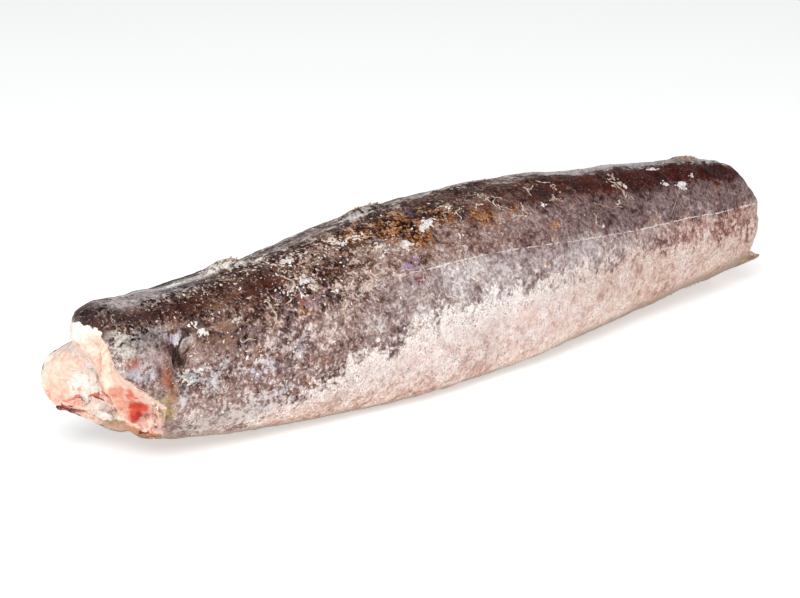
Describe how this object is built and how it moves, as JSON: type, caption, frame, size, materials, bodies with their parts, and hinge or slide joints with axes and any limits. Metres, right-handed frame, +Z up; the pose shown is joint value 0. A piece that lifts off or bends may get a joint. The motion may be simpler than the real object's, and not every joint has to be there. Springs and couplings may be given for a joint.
{
  "type": "frozen hake",
  "caption": "Frozen hake trunk, headed and gutted, with the tail cut off, lying on its belly; a whole piece of fish for cooking.",
  "frame": {"origin": "middle of the fish's box, on the surface that it lies on", "axes": "+X along the back from the head cut to the tail cut, +Z up"},
  "size_m": [0.3282, 0.0677, 0.0664],
  "materials": {
    "skin": "wet scaly skin under thin frost, pink flesh at the cuts"
  },
  "bodies": {
    "root": {"hake": "skin"}
  },
  "joints": []
}
